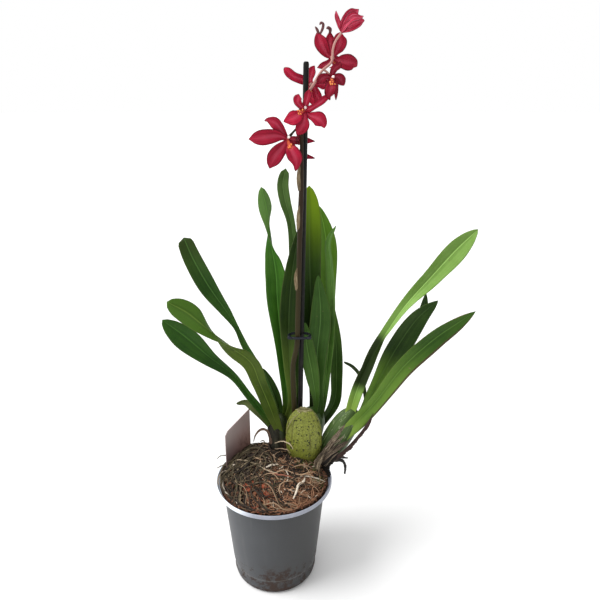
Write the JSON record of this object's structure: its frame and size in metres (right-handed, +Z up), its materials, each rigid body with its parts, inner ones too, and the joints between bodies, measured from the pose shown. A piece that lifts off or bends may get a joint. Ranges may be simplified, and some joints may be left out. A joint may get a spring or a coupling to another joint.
{
  "type": "potted orchid",
  "caption": "Flowering orchid in a round nursery pot: strap leaves fan out of green pseudobulbs, and a crimson flower spike is clipped to a slim stake.",
  "frame": {"origin": "centre of the pot's foot, on the surface that it stands on", "axes": "+Z up along the pot's axis, +X to the plant's right as its label and clip are seen from the front, +Y to the back"},
  "size_m": [0.3048, 0.1406, 0.5617],
  "materials": {
    "pot_plastic": "dusty blue-grey moulded plastic with dried splashes of soil near the foot",
    "bark_mix": "dark damp bark chips and coir",
    "dry_roots": "tangle of dry tan, brown and white aerial roots with moss",
    "stake_plastic": "black coated rod",
    "clip_plastic": "dark navy moulded clip",
    "label_card": "faded mauve-grey label with reddish stains, no text",
    "bulb_skin": "wrinkled yellow-green skin with dark pits",
    "young_bulb_skin": "smooth green skin with fine pale streaks under dry papery sheaths",
    "leaf_green": "satin green strap leaf with fine length-wise veins and a creased midrib",
    "spike_skin": "brown-maroon stem with tan bracts",
    "petal_crimson": "velvety crimson with darker rims, orange callus on the lip"
  },
  "bodies": {
    "root": {"bulb_left": "young_bulb_skin", "bulb_middle": "young_bulb_skin", "bulb_old_front": "bulb_skin", "bulb_right": "young_bulb_skin", "flower_1_lip": "petal_crimson", "flower_1_petal_left": "petal_crimson", "flower_1_petal_right": "petal_crimson", "flower_1_sepal_lower_left": "petal_crimson", "flower_1_sepal_lower_right": "petal_crimson", "flower_1_sepal_upper": "petal_crimson", "flower_2_lip": "petal_crimson", "flower_2_petal_left": "petal_crimson", "flower_2_petal_right": "petal_crimson", "flower_2_sepal_lower": "petal_crimson", "flower_2_sepal_right": "petal_crimson", "flower_2_sepal_upper": "petal_crimson", "flower_3_lip": "petal_crimson", "flower_3_petal_left": "petal_crimson", "flower_3_petal_right": "petal_crimson", "flower_3_sepal_left": "petal_crimson", "flower_3_sepal_right": "petal_crimson", "flower_3_sepal_upper": "petal_crimson", "flower_4_lip": "petal_crimson", "flower_4_petal_left": "petal_crimson", "flower_4_petal_right": "petal_crimson", "flower_4_sepal_left": "petal_crimson", "flower_4_sepal_right": "petal_crimson", "flower_4_sepal_upper": "petal_crimson", "flower_5_lip": "petal_crimson", "flower_5_petal_left": "petal_crimson", "flower_5_petal_right": "petal_crimson", "flower_5_sepal_left": "petal_crimson", "flower_5_sepal_right": "petal_crimson", "flower_5_sepal_upper": "petal_crimson", "flower_bud": "petal_crimson", "flower_spike": "spike_skin", "leaf_centre_back": "leaf_green", "leaf_centre_front": "leaf_green", "leaf_centre_tall": "leaf_green", "leaf_centre_twisted": "leaf_green", "leaf_left_arching": "leaf_green", "leaf_left_bract": "leaf_green", "leaf_left_lower": "leaf_green", "leaf_left_upper": "leaf_green", "leaf_lower_centre": "leaf_green", "leaf_right_curled": "leaf_green", "leaf_right_hook": "leaf_green", "leaf_right_inner": "leaf_green", "leaf_right_lower": "leaf_green", "leaf_right_middle": "leaf_green", "leaf_right_shadow": "leaf_green", "leaf_right_short": "leaf_green", "leaf_right_upper": "leaf_green", "plant_label": "label_card", "pot": "pot_plastic", "potting_mix": "bark_mix", "root_mat": "dry_roots", "stake": "stake_plastic", "stake_clip": "clip_plastic"}
  },
  "joints": []
}
